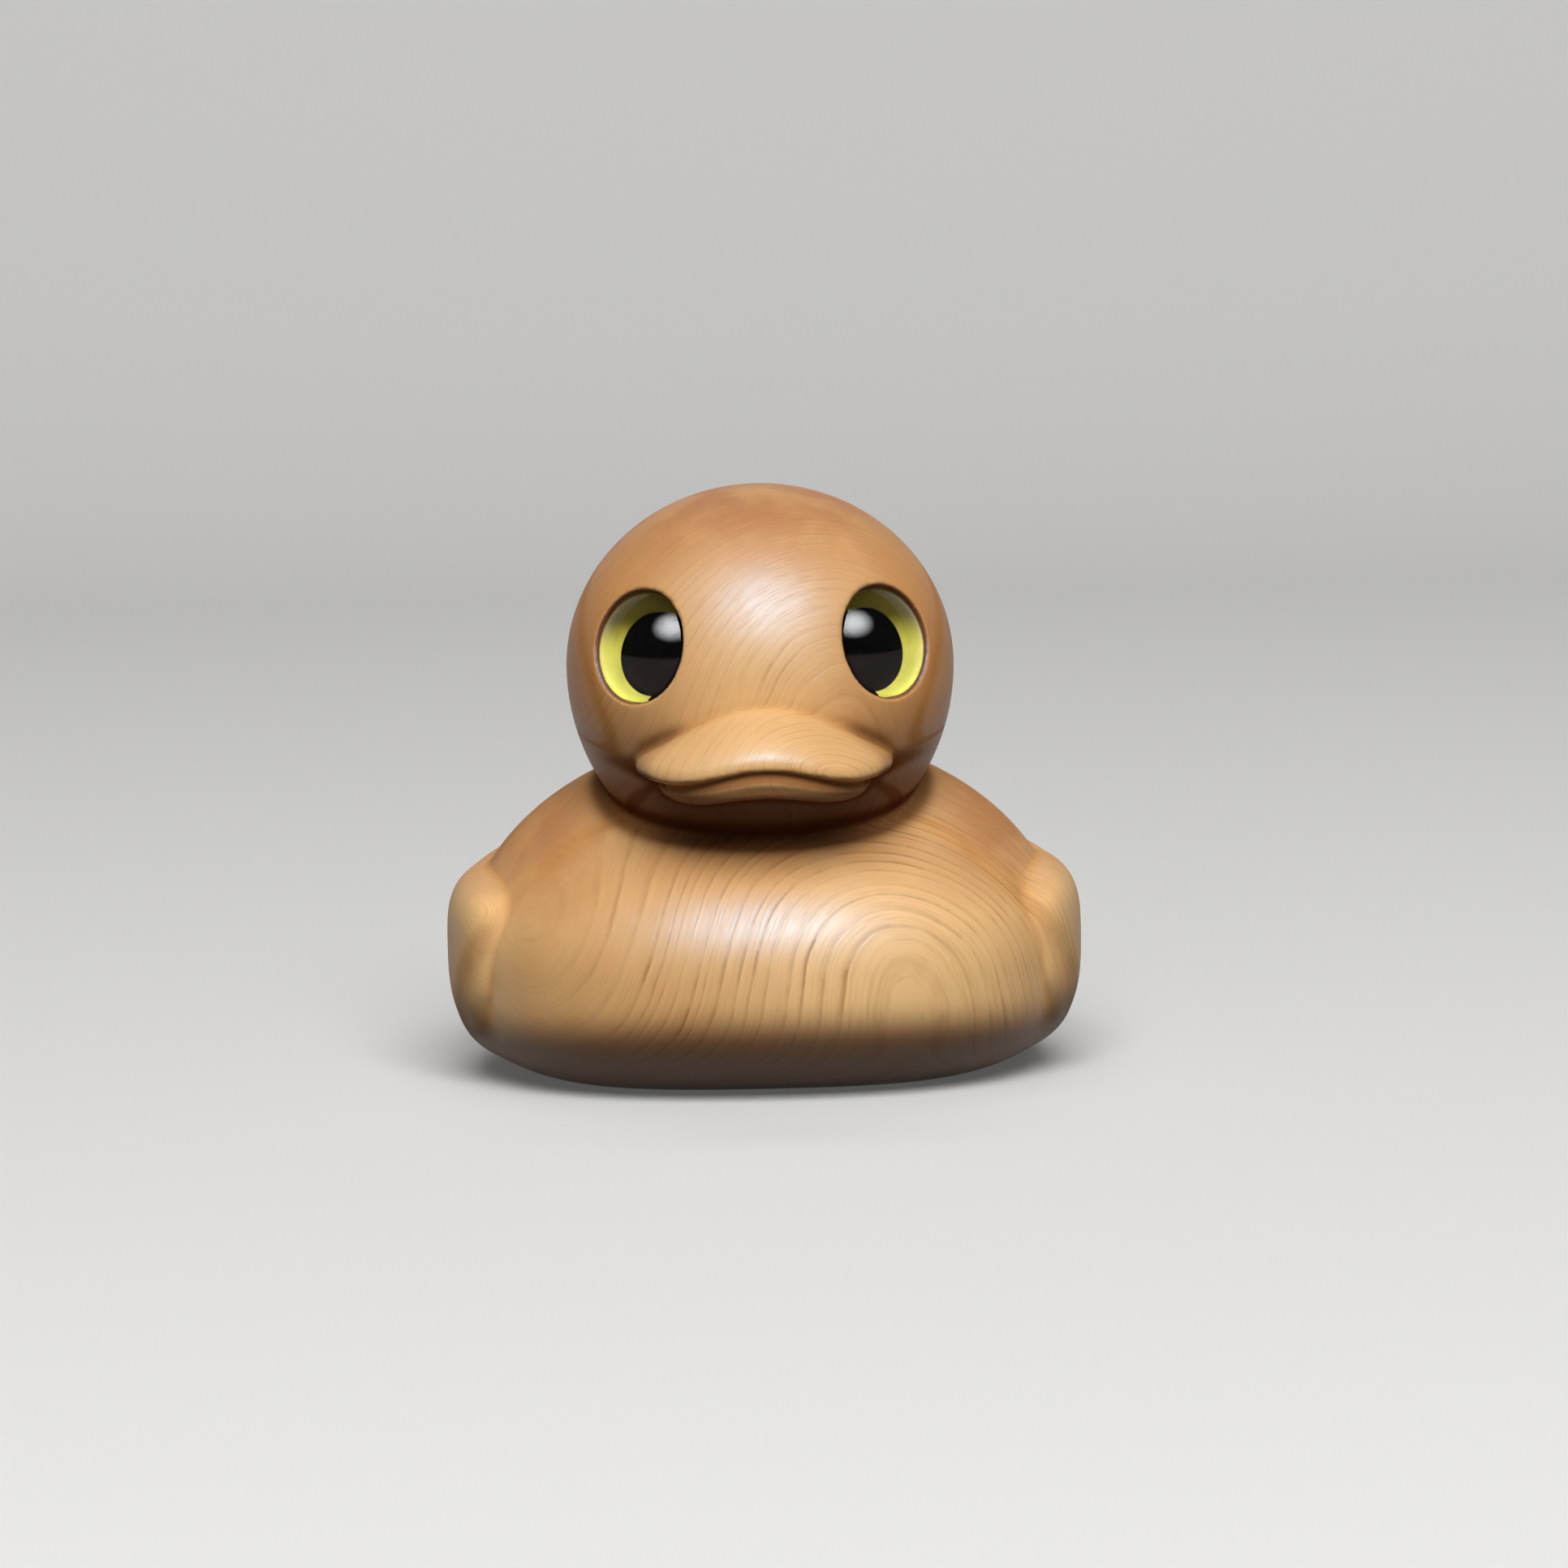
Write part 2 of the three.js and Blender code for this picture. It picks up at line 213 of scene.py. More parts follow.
def smooth_union(a, b, soft, beyond=0.0003):
    """The nearer of two distances, eased into each other where they differ by less than soft.
    Gives the joined distance and how near the crease each point lies, from 0 to 1. The crease is counted
    a little beyond the easing, so that a sharp one is marked as well."""
    apart = np.abs(a - b)
    mix = np.maximum(soft - apart, 0.0) / soft
    return np.minimum(a, b) - mix * mix * soft / 4.0, np.maximum(1.0 - apart / (soft + beyond), 0.0)


def smooth_cut(a, tool, soft):
    """Distance a with the tool's inside taken away, the new edge rounded by soft."""
    return -smooth_union(-a, tool, soft)[0]


def rounded_form(x, y, z, reach, plan=2.0, up=2.0, down=2.0):
    """Distance to a ball pulled out to a different reach sideways, in front, behind, above and below.

    Each coordinate is divided by its reach. The plan level is the power mean of the x and y parts, and the
    size is the power mean of that level and the z part: the surface is where the size is one. Size less one,
    over the length of its slope, is the distance to first order."""
    side, front, back, above, below = reach
    tiny = 1e-9
    reach_y = np.where(y < 0.0, front, back)
    reach_z = np.where(z > 0.0, above, below)
    power = np.where(z > 0.0, up, down)
    part_x = np.abs(x) / side + tiny
    part_y = np.abs(y) / reach_y + tiny
    part_z = np.abs(z) / reach_z + tiny
    level = (part_x**plan + part_y**plan) ** (1.0 / plan)
    size = (level**power + part_z**power) ** (1.0 / power)
    lean = (level / size) ** (power - 1.0)
    slope_x = lean * (part_x / level) ** (plan - 1.0) / side
    slope_y = lean * (part_y / level) ** (plan - 1.0) / reach_y
    slope_z = (part_z / size) ** (power - 1.0) / reach_z
    return (size - 1.0) / np.sqrt(slope_x**2 + slope_y**2 + slope_z**2)


def body_distance(x, y, z, s):
    """The bun: its crown raised by a bell curve along its length, and behind the middle its width and
    thickness lessened by the square, and its level lifted by the cube, of the way to the tail. The
    powers of the breast give way to those of the flanks with the share that the sides have in the plan."""
    t = np.clip(y / s.body_back, 0.0, 1.0)
    offset = y - s.shoulder_y
    fall = np.where(offset < 0.0, s.fall_front, s.fall_back)
    bell = np.exp(-((offset / fall) ** 2))
    thin = 1.0 - s.tail_thinning * t**2
    side = s.body_width / 2.0 * (1.0 - s.tail_narrowing * t**2)
    above = (s.crown + s.shoulder_rise * bell) * thin
    reach = (side, s.body_front, s.body_back, above, s.keel * thin)
    across = (np.abs(x) / side) ** s.plan_power
    along = (np.abs(y) / np.where(y < 0.0, s.body_front, s.body_back)) ** s.plan_power
    share = across / (across + along + 1e-9)
    down = s.breast_power + (s.keel_power - s.breast_power) * share
    up = np.where(y < 0.0, s.bosom_power + (2.0 - s.bosom_power) * share, 2.0)
    return rounded_form(x, y, z - s.waist - s.tail_lift * t**3, reach, s.plan_power, up, down)


def head_distance(x, y, z, s):
    """An ellipsoid with a fuller chin."""
    half = s.head_length / 2.0
    reach = (s.head_width / 2.0, half, half, s.head_crown, s.head_chin)
    return rounded_form(x, y + s.head_forward, z - s.head_z, reach)


def flank(y, s):
    """Half width of the body in plan at the waist."""
    along = np.minimum(np.abs(y) / np.where(y < 0.0, s.body_front, s.body_back), 1.0)
    t = np.clip(y / s.body_back, 0.0, 1.0)
    across = (1.0 - along**s.plan_power) ** (1.0 / s.plan_power)
    return s.body_width / 2.0 * across * (1.0 - s.tail_narrowing * t**2)


def wing_distance(x, y, z, s):
    """Both wings at once: a blunt pad measured from the plan of the flank, flatter in front, its tip swept
    up by the square of the way back."""
    along = y - s.wing_y
    swept = np.maximum(along, 0.0) / s.wing_back
    guide = flank(np.where(y < 0.0, s.wing_stretch * y, y), s)
    out = np.abs(x) - guide - s.wing_proud + s.wing_thickness
    height = z - s.wing_z - s.wing_sweep * swept**2
    reach = (s.wing_thickness, s.wing_front, s.wing_back, s.wing_above, s.wing_below)
    return rounded_form(out, along, height, reach, 5.0, 3.0, 3.0)


def bill_distances(x, y, z, s):
    """The two lips, rounded forms that droop by a cosine wave across the bill. The upper one is nearly a
    wedge; its height is eased by one roll above its edge and another below, so that the lip turns over and
    under in a curve. The lower one is full, so that only a thin line is left between them."""
    wave = s.bill_wave * (1.0 - np.cos(2.0 * np.pi * x / s.bill_wave_length)) / 2.0
    along = y + s.head_forward + s.bill_root
    height = z - s.head_z + s.bill_drop + wave
    front = s.bill_reach - s.bill_root
    back = s.bill_root / 2.0
    roll = np.where(height > 0.0, s.bill_roll, s.lip_roll)
    eased = np.sign(height) * (np.hypot(height, roll) - roll)
    reach = (s.bill_width / 2.0, front, back, s.bill_ridge, s.bill_lip)
    upper = rounded_form(x, along, eased, reach, 2.2, s.bill_power)
    reach = (s.lower_width / 2.0, front - s.lower_shortfall, back, s.lower_lip, s.lower_depth)
    return upper, rounded_form(x, along, height + s.lower_drop, reach, 2.2, s.lower_power)


def eye_seat(sign, s, e):
    """Point and outward direction of an eye: where the ellipsoid of the head faces the yaw and pitch."""
    axis = np.array([
        sign * math.sin(e.yaw) * math.cos(e.pitch),
        -math.cos(e.yaw) * math.cos(e.pitch),
        math.sin(e.pitch),
    ])
    half = np.array([s.head_width / 2.0, s.head_length / 2.0, s.head_crown])
    point = axis * half**2 / np.linalg.norm(axis * half)
    return point + np.array([0.0, -s.head_forward, s.head_z]), axis


def eye_levels(e):
    """Levels along the eye axis from the uncut head: back of the glass, front and back of the enamel, and
    the floor of the socket."""
    glass_back = -e.lens_inset - e.lens_edge
    enamel_front = glass_back - e.gap
    enamel_back = enamel_front - e.paint
    return glass_back, enamel_front, enamel_back, enamel_back - e.relief


def socket_distance(x, y, z, sign, s, e):
    """A round bore about the eye axis, open outwards, with a flat floor."""
    point, axis = eye_seat(sign, s, e)
    dx, dy, dz = x - point[0], y - point[1], z - point[2]
    along = dx * axis[0] + dy * axis[1] + dz * axis[2]
    around = np.sqrt(np.maximum(dx**2 + dy**2 + dz**2 - along**2, 0.0))
    return np.maximum(around - e.lens_diameter / 2.0 - e.gap, eye_levels(e)[3] - along)


def carving(x, y, z, s, e):
    """Distance to the whole carving and the depth of each point in a crease: the forms joined one after
    another with soft creases, the wings melting into the belly below the waist, the sockets bored and the
    foot sawn flat."""
    total, crease = smooth_union(body_distance(x, y, z, s), head_distance(x, y, z, s), s.neck_soft)
    melt = np.clip(1.5 - 2.0 * z / s.waist, 0.0, 1.0)
    soft = s.wing_soft + (s.wing_melt - s.wing_soft) * melt
    total, mix = smooth_union(total, wing_distance(x, y, z, s), soft)
    crease = np.maximum(crease, mix * (1.0 - melt))
    bill, mix = smooth_union(*bill_distances(x, y, z, s), s.mouth_soft)
    crease = np.maximum(crease, mix)
    total, mix = smooth_union(total, bill, s.bill_soft)
    crease = np.maximum(crease, mix)
    for sign in SIDES.values():
        total = smooth_cut(total, socket_distance(x, y, z, sign, s, e), s.rim_soft)
    return smooth_cut(total, z, s.rim_soft), crease


def lattice_axis(low, high, stops, stride=4):
    """Places of the lattice nodes along one axis. The spacing at each place runs evenly from stop to stop,
    each a place and a spacing; there are as many nodes as fill whole blocks."""
    places = [low]
    while places[-1] < high or len(places) % stride:
        places.append(places[-1] + np.interp(places[-1], *zip(*stops)))
    return np.array(places)


def sample_lattice(field, axes, stride=4):
    """Field at every lattice node. Blocks of nodes further from the surface than a good two blocks keep the
    value at their middle."""
    middles = [places.reshape(-1, stride).mean(1) for places in axes]
    fine = field(*np.meshgrid(*middles, indexing="ij"))
    widest = max(np.diff(places).max() for places in axes)
    near = np.abs(fine) < 2.2 * stride * widest
    for a in range(3):
        fine = np.repeat(fine, stride, axis=a)
        near = np.repeat(near, stride, axis=a)
    where = np.nonzero(near)
    fine[where] = field(*(axes[a][where[a]] for a in range(3)))
    return fine


def contour(values, axes):
    """Surface through the lattice where the value is nought, as points and quads.

    Each cell whose corners differ in sign gets one point, the mean of the places where its edges cross
    nought. Each lattice edge that crosses nought gets one quad, between the points of the four cells round
    it, turned so that it faces the outside."""
    inside = values < 0.0
    shape = np.array(values.shape) - 1
    count = np.zeros(shape, np.int8)
    corners = [(i, j, k) for i in (0, 1) for j in (0, 1) for k in (0, 1)]
    for i, j, k in corners:
        count += inside[i:i + shape[0], j:j + shape[1], k:k + shape[2]]
    cells = np.argwhere((count > 0) & (count < 8))
    number = np.full(shape, -1, np.int64)
    number[tuple(cells.T)] = np.arange(len(cells))
    total = np.zeros((len(cells), 3))
    crossings = np.zeros(len(cells))
    for first in corners:
        for axis in range(3):
            if first[axis]:
                continue
            second = list(first)
            second[axis] = 1
            a = values[tuple((cells + first).T)]
            b = values[tuple((cells + second).T)]
            crosses = (a < 0.0) != (b < 0.0)
            place = np.array(first) + np.zeros((len(cells), 3))
            place[:, axis] = a / np.where(crosses, a - b, 1.0)
            total += place * crosses[:, None]
            crossings += crosses
    steps = cells + total / crossings[:, None]
    points = np.stack([np.interp(steps[:, a], np.arange(len(axes[a])), axes[a]) for a in range(3)], 1)
    quads = []
    for axis in range(3):
        one, two = (axis + 1) % 3, (axis + 2) % 3
        start = inside.take(range(shape[axis]), axis)
        end = inside.take(range(1, shape[axis] + 1), axis)
        edges = np.argwhere(start != end)
        leaving = start[tuple(edges.T)]
        ring = []
        for back_one, back_two in ((1, 1), (0, 1), (0, 0), (1, 0)):
            cell_index = edges.copy()
            cell_index[:, one] -= back_one
            cell_index[:, two] -= back_two
            ring.append(number[tuple(cell_index.T)])
        ring = np.stack(ring, 1)
        quads.append(np.where(leaving[:, None], ring, ring[:, ::-1]))
    return points, np.concatenate(quads)


def field_slope(field, points, step):
    """Slope of the field at points, from the difference over a small step each way."""
    slope = np.empty_like(points)
    for axis in range(3):
        shift = np.zeros(3)
        shift[axis] = step
        slope[:, axis] = (field(*(points + shift).T) - field(*(points - shift).T)) / (2.0 * step)
    return slope


def neighbour_mean(values, quads):
    """Mean of the values of each point's neighbours along the sides of the quads."""
    ends = np.concatenate([quads, np.roll(quads, -1, 1)]).ravel()
    others = np.concatenate([np.roll(quads, -1, 1), quads]).ravel()
    return np.bincount(ends, values[others], len(values)) / np.bincount(ends, minlength=len(values))


def settle(field, points, quads, cell, rounds=3):
    """Evens out the points along the surface and slides them back onto it.

    Each round moves a point half way to the mean of its neighbours, then down the slope of the field by
    its value over the square of the slope, never further than half a cell. Two last rounds only slide."""
    least_slope = 0.05
    for turn in range(rounds + 2):
        if turn < rounds:
            mean = np.stack([neighbour_mean(points[:, a], quads) for a in range(3)], 1)
            points = points + 0.5 * (mean - points)
        slope = field_slope(field, points, 0.1 * cell)
        move = field(*points.T)[:, None] * slope / np.maximum((slope**2).sum(1), least_slope)[:, None]
        far = np.linalg.norm(move, axis=1, keepdims=True)
        points = points - move * np.minimum(1.0, 0.5 * cell / np.maximum(far, 1e-12))
    return points


def hollows(field, points, cell):
    """How far each point lies in a hollow, from 0 to 1: steps are taken straight out from the surface, and
    the part of each step by which the distance to the surface falls short is averaged. A little is taken off
    for the plain curve of the wood, and the rest is raised by half."""
    out = field_slope(field, points, 0.3 * cell)
    out /= np.maximum(np.linalg.norm(out, axis=1, keepdims=True), 1e-9)
    steps = (0.0006, 0.0012, 0.002, 0.003)
    raised, plain = 1.5, 0.08
    short = [1.0 - field(*(points + step * out).T) / step for step in steps]
    return np.clip(np.mean(np.clip(short, 0.0, 1.0), 0) * raised - plain, 0.0, 1.0)


def new_piece(name, points, quads, material, node, triangles=None):
    """A shaded mesh object at the origin that rides on the duck and stands for its CAD node."""
    mesh = bpy.data.meshes.new(name)
    loops = [quads.ravel()]
    starts = [4 * np.arange(len(quads))]
    if triangles is not None:
        loops.append(triangles.ravel())
        starts.append(4 * len(quads) + 3 * np.arange(len(triangles)))
    loops = np.concatenate(loops)
    starts = np.concatenate(starts)
    mesh.vertices.add(len(points))
    mesh.vertices.foreach_set("co", points.astype(np.float32).ravel())
    mesh.loops.add(len(loops))
    mesh.loops.foreach_set("vertex_index", loops.astype(np.int32))
    mesh.polygons.add(len(starts))
    mesh.polygons.foreach_set("loop_start", starts.astype(np.int32))
    mesh.update(calc_edges=True)
    if mesh.validate():
        raise RuntimeError(f"the mesh of {name} was not sound")
    mesh.shade_smooth()
    mesh.materials.append(material)
    piece = bpy.data.objects.new(name, mesh)
    bpy.context.scene.collection.objects.link(piece)
    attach(piece, "root")
    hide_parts(node)
    return piece


def pupil_shift(e):
    """How far the pupil sits off the middle of the iris: as much as leaves the ring its narrowest width."""
    return max(0.0, (e.lens_diameter - e.pupil_diameter) / 2.0 - e.gap - e.iris_narrowest)


def turned(profile, sign, s, e, steps=96):
    """A closed surface turned about an eye axis: each profile point (radius, level, share) is carried round
    a circle of that radius at that level, its middle off the axis by that share of the shift of the pupil.
    Profile points of no radius become single poles. Gives points, quads and the triangles at the poles."""
    point, axis = eye_seat(sign, s, e)
    across = np.cross(axis, [0.0, 0.0, 1.0])
    across /= np.linalg.norm(across)
    downward = np.cross(axis, across)
    turn = 2.0 * np.pi * np.arange(steps) / steps
    circle = np.cos(turn)[:, None] * across + np.sin(turn)[:, None] * downward
    shift = pupil_shift(e) * (math.cos(e.pupil_look) * downward + sign * math.sin(e.pupil_look) * across)
    middles = profile[:, 1, None] * axis + profile[:, 2, None] * shift
    on_axis = profile[:, 0] < 1e-9
    rings = profile[~on_axis]
    points = rings[:, 0, None, None] * circle + middles[~on_axis][:, None, :]
    points = points.reshape(-1, 3)
    poles = middles[on_axis]
    here = np.arange(steps)
    there = np.roll(here, -1)
    rows = steps * np.arange(len(rings))
    lower = rows[:-1] if len(poles) else rows
    upper = rows[1:] if len(poles) else np.roll(rows, -1)
    quads = np.stack([
        lower[:, None] + here, lower[:, None] + there, upper[:, None] + there, upper[:, None] + here
    ], -1).reshape(-1, 4)
    triangles = None
    if len(poles):
        first, last = len(points), len(points) + 1
        triangles = np.concatenate([
            np.stack([np.full(steps, first), there, here], 1),
            np.stack([np.full(steps, last), rows[-1] + here, rows[-1] + there], 1),
        ])
        points = np.concatenate([points, poles])
    return points + point, quads, triangles


def with_share(outline, share):
    """Outline points (radius, level) with a share of the shift for each, or one for all."""
    return np.column_stack([outline, np.broadcast_to(share, len(outline))])


def lens_profile(e, steps=26):
    """Flat back with a rounded corner, straight edge, then the arc of the dome to its top. The back is sunk
    a little into the enamel, which is fired onto the glass with no air between them."""
    radius = e.lens_diameter / 2.0
    sink = 0.00025
    bevel = 0.00012
    back = eye_levels(e)[1] - sink
    edge = math.asin(radius / e.dome_radius)
    centre = -e.lens_inset - e.dome_radius * math.cos(edge)
    arc = np.linspace(edge, 0.0, steps + 1)[:-1]
    dome = np.stack([e.dome_radius * np.sin(arc), centre + e.dome_radius * np.cos(arc)], 1)
    start = np.array([[0.0, back], [radius / 2.0, back], [radius - bevel, back], [radius, back + bevel]])
    return with_share(np.concatenate([start, dome, [[0.0, centre + e.dome_radius]]]), 0.0)


def iris_profile(e):
    """A thin ring, its face dished towards the pupil and its hole shifted with it, all corners eased."""
    _, front, back, _ = eye_levels(e)
    outer = e.lens_diameter / 2.0 - 0.00003
    inner = e.pupil_diameter / 2.0 + 0.00002
    ease = 0.00005
    dish = 0.00012
    outline = np.array([
        [inner, back + ease], [inner + ease, back], [outer - ease, back], [outer, back + ease],
        [outer, front - ease], [outer - ease, front], [0.5 * (inner + outer), front - 0.4 * dish],
        [inner + ease, front - dish], [inner, front - dish - ease],
    ])
    return with_share(outline, np.array([1.0, 1.0, 0.0, 0.0, 0.0, 0.0, 0.5, 1.0, 1.0]))


def pupil_profile(e, steps=10):
    """A disc with an eased rim, its face dished like the ring round it and faintly domed."""
    _, front, back, _ = eye_levels(e)
    radius = e.pupil_diameter / 2.0
    ease = 0.00004
    dish = 0.00012
    dome = 0.0001
    swell = np.linspace(1.0, 0.0, steps + 1)
    face = np.stack([(radius - ease) * swell, front - dish + dome * (1.0 - swell**2)], 1)
    rim = np.array([
        [0.0, back], [radius - ease, back], [radius, back + ease], [radius, front - dish - ease],
    ])
    return with_share(np.concatenate([rim, face]), 1.0)


class Shading:
    """Adds nodes to a material, each with its inputs set or linked in one call."""

    def __init__(self, name):
        self.material = bpy.data.materials.new(name)
        self.material.use_nodes = True
        self.tree = self.material.node_tree
        self.tree.nodes.clear()

    def node(self, kind, inputs=None, **settings):
        """A node of that kind; inputs maps a socket's name or number to a value or to another socket."""
        made = self.tree.nodes.new("ShaderNode" + kind)
        for key, value in settings.items():
            setattr(made, key, value)
        for key, value in (inputs or {}).items():
            if isinstance(value, bpy.types.NodeSocket):
                self.tree.links.new(value, made.inputs[key])
            else:
                made.inputs[key].default_value = value
        return made

    def math(self, operation, a, b=0.0, clamp=False):
        """One arithmetic step."""
        return self.node("Math", {0: a, 1: b}, operation=operation, use_clamp=clamp).outputs[0]

    def product(self, first, *others):
        """All the values multiplied together."""
        for other in others:
            first = self.math("MULTIPLY", first, other)
        return first

    def greatest(self, first, *others):
        """The greatest of the values."""
        for other in others:
            first = self.math("MAXIMUM", first, other)
        return first

    def mark(self, name):
        """A value that the mesh carries at its points."""
        return self.node("Attribute", attribute_name=name).outputs["Fac"]

    def dot(self, vector, weights):
        """Weighted sum of a vector's parts."""
        return self.node("VectorMath", {0: vector, 1: weights}, operation="DOT_PRODUCT").outputs["Value"]

    def ease(self, value, start, end, low=0.0, high=1.0):
        """A soft step from low to high as value goes from start to end."""
        sockets = {"Value": value, "From Min": start, "From Max": end, "To Min": low, "To Max": high}
        return self.node("MapRange", sockets, interpolation_type="SMOOTHSTEP").outputs[0]

    def noise(self, vector, scale, detail=2.0, along=None, rough=0.5):
        """Smooth noise about one half; along adds a fourth coordinate."""
        sockets = {"Vector": vector, "Scale": scale, "Detail": detail, "Roughness": rough}
        if along is not None:
            sockets["W"] = along
        kind = "3D" if along is None else "4D"
        return self.node("TexNoise", sockets, noise_dimensions=kind)

    def mix(self, factor, a, b):
        """Colour a turning into colour b."""
        made = self.node("Mix", data_type="RGBA")
        for index, value in ((0, factor), (6, a), (7, b)):
            if isinstance(value, bpy.types.NodeSocket):
                self.tree.links.new(value, made.inputs[index])
            else:
                made.inputs[index].default_value = value
        return made.outputs[2]

    def finish(self, sockets):
        """The surface shader and the output."""
        shader = self.node("BsdfPrincipled", sockets)
        self.node("OutputMaterial", {"Surface": shader.outputs[0]})
        return self.material


def opaque(rgb):
    """A colour with full alpha."""
    return (*rgb, 1.0)


def ring_depth(shade, block):
    """How deep in the log a point lies, in centimetres across the rings: a tilted plane plus a gentle
    saddle, measured on the block after slow and fine noise have swayed it."""
    sways = ((0.9, 0.10), (4.5, 0.014))
    plane = (0.326, -0.212, -0.873)
    saddle = ((-0.22, -0.245, 0.074), (-0.245, 0.218, -0.296), (0.074, -0.296, -0.049))
    swayed = block
    for scale, reach in sways:
        sway = shade.noise(block, scale, 2.0).outputs["Color"]
        sway = shade.node("VectorMath", {0: sway, 1: (0.5,) * 3}, operation="SUBTRACT").outputs[0]
        sockets = {0: sway, 1: (reach,) * 3, 2: swayed}
        swayed = shade.node("VectorMath", sockets, operation="MULTIPLY_ADD").outputs[0]
    bent = shade.node("CombineXYZ", {a: shade.dot(swayed, row) for a, row in enumerate(saddle)}).outputs[0]
    rise = shade.node("VectorMath", {0: bent, 1: swayed}, operation="DOT_PRODUCT").outputs["Value"]
    return shade.math("ADD", shade.dot(swayed, plane), rise)


def eye_measures(shade, place, s, e):
    """How far a place lies from the axis of the nearer eye, and how far out along it. The first is the
    length of the cross product of the axis and the arm from the eye, the second their dot product."""
    point, axis = eye_seat(1.0, s, e)
    across, along, height = shade.node("SeparateXYZ", {0: place}).outputs
    half = shade.node("CombineXYZ", {0: shade.math("ABSOLUTE", across), 1: along, 2: height}).outputs[0]
    arm = shade.node("VectorMath", {0: half, 1: tuple(point)}, operation="SUBTRACT").outputs[0]
    off = shade.node("VectorMath", {0: arm, 1: tuple(axis)}, operation="CROSS_PRODUCT").outputs[0]
    radius = shade.node("VectorMath", {0: off}, operation="LENGTH").outputs["Value"]
    return radius, shade.dot(arm, tuple(axis))


def wood_spot(shade, w):
    """What the wood reads at a point: its place and the parts of it, the block in centimetres from a point
    behind the breast, the ring depth, the way to the heart of the rings, and the marks of the carving."""
    place = shade.node("TexCoord").outputs["Object"]
    across, along, height = shade.node("SeparateXYZ", {0: place}).outputs
    sockets = {"Vector": place, "Location": (0.0, 1.0, -2.0), "Scale": (100.0,) * 3}
    block = shade.node("Mapping", sockets).outputs[0]
    heart = shade.node("VectorMath", {0: place, 1: tuple(w.heart)}, operation="DISTANCE").outputs["Value"]
    return SimpleNamespace(
        place=place,
        across=across,
        along=along,
        height=height,
        wide=shade.math("ABSOLUTE", across),
        block=block,
        depth=ring_depth(shade, block),
        heart=heart,
        crease=shade.mark("crease"),
        hollow=shade.mark("hollow"),
        under=shade.mark("under"),
    )


def ring_fade(shade, spot):
    """Where the rings show: most on the breast, less at the flanks, the foot, the head and the back, less at
    the very heart, and everywhere broken into patches and dashes."""
    dashes = shade.noise(spot.block, 6.0, 2.0).outputs[0]
    patches = shade.noise(spot.block, 1.3, 2.0).outputs[0]
    return shade.product(
        shade.ease(spot.across, -0.017, -0.010, 0.05, 1.0),
        shade.ease(spot.across, 0.018, 0.021, 1.0, 0.3),
        shade.ease(spot.height, 0.002, 0.006, 0.4, 1.0),
        shade.ease(spot.along, -0.006, 0.004, 1.0, 0.12),
        shade.ease(spot.heart, 0.0025, 0.006, 0.35, 1.0),
        shade.ease(spot.height, 0.017, 0.023, 1.0, 0.4),
        shade.ease(patches, 0.35, 0.62, 0.4, 1.0),
        shade.ease(dashes, 0.36, 0.6, 0.45, 1.0),
    )


def growth_rings(shade, spot, w):
    """Strengths of the three parts of a ring: the line of late wood, the band that darkens into it and the
    pale edge that follows it, a painted highlight beside the ring's groove.

    The ring depth, wider spaced below nought and made uneven by noise, is counted: its whole part is the
    year, which is strong or faint by chance, and its fraction is the place in the year."""
    early_rate = 0.62
    unevenness = 1.9
    early = shade.product(shade.math("MINIMUM", spot.depth, 0.0), early_rate)
    count = shade.math("ADD", early, shade.math("MAXIMUM", spot.depth, 0.0))
    count = shade.product(count, w.rings_per_cm)
    sockets = {"W": count, "Scale": 0.37, "Detail": 1.0}
    uneven = shade.node("TexNoise", sockets, noise_dimensions="1D").outputs[0]
    count = shade.math("ADD", count, shade.product(uneven, unevenness))
    part = shade.math("FRACT", count)
    whole = shade.math("ADD", shade.math("FLOOR", count), w.seed)
    year = shade.node("TexWhiteNoise", {"W": whole}, noise_dimensions="1D").outputs["Value"]
    strength = shade.ease(shade.math("POWER", year, 1.3), 0.0, 1.0, 0.4, 1.0)
    strength = shade.product(strength, ring_fade(shade, spot))
    strength = shade.math("MULTIPLY", strength, w.ring_strength, clamp=True)
    ended = shade.ease(part, 0.92, 1.0, 1.0, 0.0)
    line = shade.product(shade.ease(part, 0.62, 0.9), ended, strength)
    band = shade.product(shade.ease(part, 0.05, 0.9), ended, strength, 0.4)
    edge = shade.product(shade.ease(part, 0.0, 0.06), shade.ease(part, 0.1, 0.34, 1.0, 0.0), strength, 0.35)
    return line, band, edge


